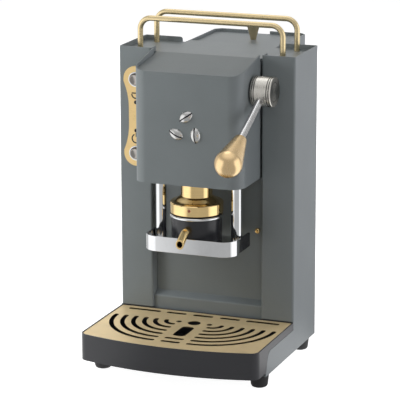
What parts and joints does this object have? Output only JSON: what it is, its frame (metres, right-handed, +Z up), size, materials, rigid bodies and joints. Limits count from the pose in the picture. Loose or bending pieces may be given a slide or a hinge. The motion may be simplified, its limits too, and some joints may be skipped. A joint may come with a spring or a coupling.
{
  "type": "pod espresso machine",
  "caption": "Lever-closed pod espresso machine with a folded sheet-metal body, polished columns, brass brewing head, drip tray with a slotted grille and cup rails on top.",
  "frame": {"origin": "on the surface that the feet stand on, under the middle of the whole machine", "axes": "+Z up, -Y towards the user (the spout side), +X to the user's right (the lever side)"},
  "size_m": [0.2, 0.3178, 0.3694],
  "materials": {
    "body_paint": "satin grey powder coat",
    "tray_paint": "satin anthracite powder coat",
    "satin_brass": "brushed satin",
    "polished_brass": "polished",
    "polished_steel": "polished",
    "copper_steel": "plated, satin",
    "nickel": "turned, satin",
    "zinc_steel": "plain",
    "pewter": "cast, burnished edges",
    "black_plastic": "matte",
    "black_anodised": "smooth satin black",
    "rubber": "matte",
    "clear_plastic": "gloss, translucent",
    "aluminium": "cast",
    "board_green": "matte",
    "silicone": "matte, translucent white",
    "lens_amber": "gloss"
  },
  "bodies": {
    "machine": {"base_plate": "body_paint", "boiler": "aluminium", "bracket_band": "polished_steel", "button_bezels": "polished_steel", "button_switches": "black_plastic", "carrier_shelf": "zinc_steel", "casing_left": "body_paint", "casing_right": "body_paint", "column_left": "polished_steel", "column_nuts": "zinc_steel", "column_right": "polished_steel", "control_board": "board_green", "control_plate": "satin_brass", "foot_front_left": "rubber", "foot_front_right": "rubber", "foot_middle_left": "rubber", "foot_middle_right": "rubber", "foot_rear_left": "rubber", "foot_rear_right": "rubber", "front_rail": "satin_brass", "holder_rim": "polished_steel", "hood_ornament": "pewter", "hood_shell": "body_paint", "indicator_lenses": "lens_amber", "mains_inlet": "black_plastic", "neck_guide": "black_plastic", "panel_screws": "polished_brass", "pod_bracket": "black_anodised", "pod_filter": "polished_steel", "pod_holder": "black_anodised", "pump": "zinc_steel", "pump_mounts": "rubber", "rear_housing": "body_paint", "rear_rail": "satin_brass", "recess_panel": "body_paint", "shaft_bushes": "polished_brass", "shaft_frame_left": "zinc_steel", "shaft_frame_right": "zinc_steel", "spout": "polished_brass", "tank_shelf": "zinc_steel", "tank_valve": "black_plastic", "top_plate": "body_paint", "water_hoses": "silicone", "water_tank": "clear_plastic"},
    "lid": {"tank_lid": "body_paint", "lid_knob": "polished_brass"},
    "tray": {"drip_tray": "tray_paint"},
    "grille": {"grille": "satin_brass"},
    "lever": {"lever_shaft": "zinc_steel", "lever_hub": "nickel", "lever_rod": "polished_steel", "lever_handle": "satin_brass"},
    "piston": {"piston_yoke": "zinc_steel", "group_head": "polished_brass", "head_gasket": "rubber", "set_screw": "copper_steel", "shower_screen": "polished_steel"},
    "upper_button": {"upper_button": "polished_steel"},
    "lower_button": {"lower_button": "polished_steel"}
  },
  "joints": [
    {"name": "lever_turn", "type": "hinge", "parent": "machine", "child": "lever", "pos_m": [0.07355, -0.03705, 0.303], "axis": [-1, 0, 0], "range_deg": [0, 80]},
    {"name": "piston_slide", "type": "slide", "parent": "machine", "child": "piston", "axis": [0, 0, 1], "range_m": [0, 0.008]},
    {"name": "tray_slide", "type": "slide", "parent": "machine", "child": "tray", "axis": [0, -1, 0], "range_m": [0, 0.125]},
    {"name": "grille_lift", "type": "slide", "parent": "tray", "child": "grille", "axis": [0, 0, 1], "range_m": [0, 0.04]},
    {"name": "lid_lift", "type": "slide", "parent": "machine", "child": "lid", "axis": [0, 0, 1], "range_m": [0, 0.06]},
    {"name": "upper_button_press", "type": "slide", "parent": "machine", "child": "upper_button", "axis": [0, 1, 0], "range_m": [0, 0.0015], "stiffness_N_per_m": 400, "springref_m": -0.002},
    {"name": "lower_button_press", "type": "slide", "parent": "machine", "child": "lower_button", "axis": [0, 1, 0], "range_m": [0, 0.0015], "stiffness_N_per_m": 400, "springref_m": -0.002}
  ],
  "couplings": [
    {"joint": "piston_slide", "follows": "lever_turn", "m_per_rad": 0.0057081}
  ]
}
